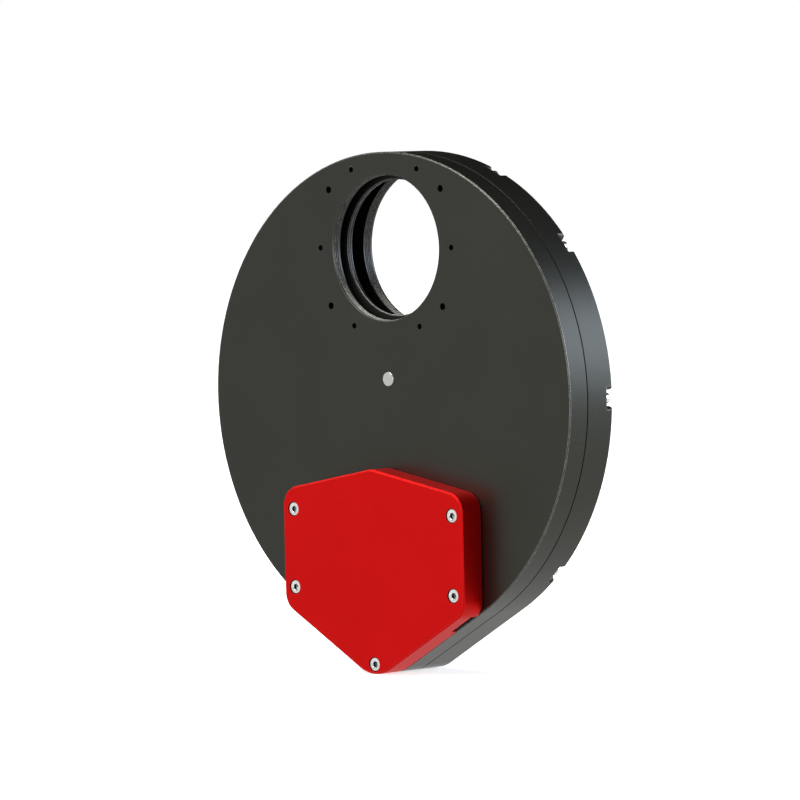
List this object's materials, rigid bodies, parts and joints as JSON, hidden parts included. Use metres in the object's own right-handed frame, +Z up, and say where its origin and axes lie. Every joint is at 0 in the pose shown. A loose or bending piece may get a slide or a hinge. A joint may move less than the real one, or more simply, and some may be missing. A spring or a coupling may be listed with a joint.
{
  "type": "optical filter wheel",
  "caption": "Motorised filter wheel: a round flat housing with a pointed tab, a geared carousel of threaded filter pockets on an offset axle, and a motor cover over the tab.",
  "frame": {"origin": "on the optical axis, in the front face of the housing, where the camera flange is bolted on", "axes": "+Z up from the tab to the aperture, -Y out of the front face with the motor cover, +X to the right seen from the front"},
  "size_m": [0.168, 0.031, 0.1788],
  "materials": {
    "housing": "satin black anodised, fine bead-blasted grain",
    "carousel_black": "matt black anodised",
    "cover_red": "satin red anodised",
    "screw_steel": "bright stainless steel",
    "axle_steel": "turned steel",
    "bearing_steel": "polished bearing steel",
    "magnet_nickel": "nickel plated",
    "pinion_brass": "cut brass",
    "motor_steel": "zinc plated",
    "motor_ferrite": "dull ferrite",
    "coil_former": "moulded",
    "bush_bronze": "sintered bronze",
    "board_green": "solder mask",
    "chip_black": "moulded",
    "plug_white": "moulded nylon",
    "lead_insulation": "insulated wire",
    "socket_steel": "tin plated"
  },
  "bodies": {
    "housing": {"front_shell": "housing", "rear_shell": "housing", "shell_screws": "screw_steel", "axle": "axle_steel", "axle_washer": "axle_steel", "axle_screw": "screw_steel", "bearing_spacer": "axle_steel", "front_bearing_inner": "bearing_steel", "front_bearing_balls": "bearing_steel", "rear_bearing_inner": "bearing_steel", "rear_bearing_balls": "bearing_steel", "motor_can": "motor_steel", "motor_flange": "motor_steel", "motor_stator": "coil_former", "motor_front_bush": "bush_bronze", "motor_end_bush": "bush_bronze", "motor_screws": "screw_steel", "motor_terminal": "plug_white", "lead_plug": "plug_white", "motor_leads": "lead_insulation", "motor_cover": "cover_red", "cover_screws": "screw_steel", "usb_shell": "socket_steel", "usb_tongue": "chip_black", "control_board": "board_green", "board_spacers": "pinion_brass", "board_screws": "screw_steel", "board_chips": "chip_black", "hall_sensor": "chip_black"},
    "carousel": {"carousel": "carousel_black", "index_magnets": "magnet_nickel", "front_bearing_outer": "bearing_steel", "rear_bearing_outer": "bearing_steel"},
    "pinion": {"drive_pinion": "pinion_brass", "motor_shaft": "axle_steel", "motor_rotor": "motor_ferrite"}
  },
  "joints": [
    {"name": "carousel_spin", "type": "hinge", "parent": "housing", "child": "carousel", "pos_m": [0, 0, -0.0451], "axis": [0, 1, 0], "continuous": true},
    {"name": "pinion_spin", "type": "hinge", "parent": "housing", "child": "pinion", "pos_m": [0, 0, -0.1256], "axis": [0, 1, 0], "continuous": true}
  ],
  "couplings": [
    {"joint": "pinion_spin", "follows": "carousel_spin", "ratio": -9.0625}
  ]
}
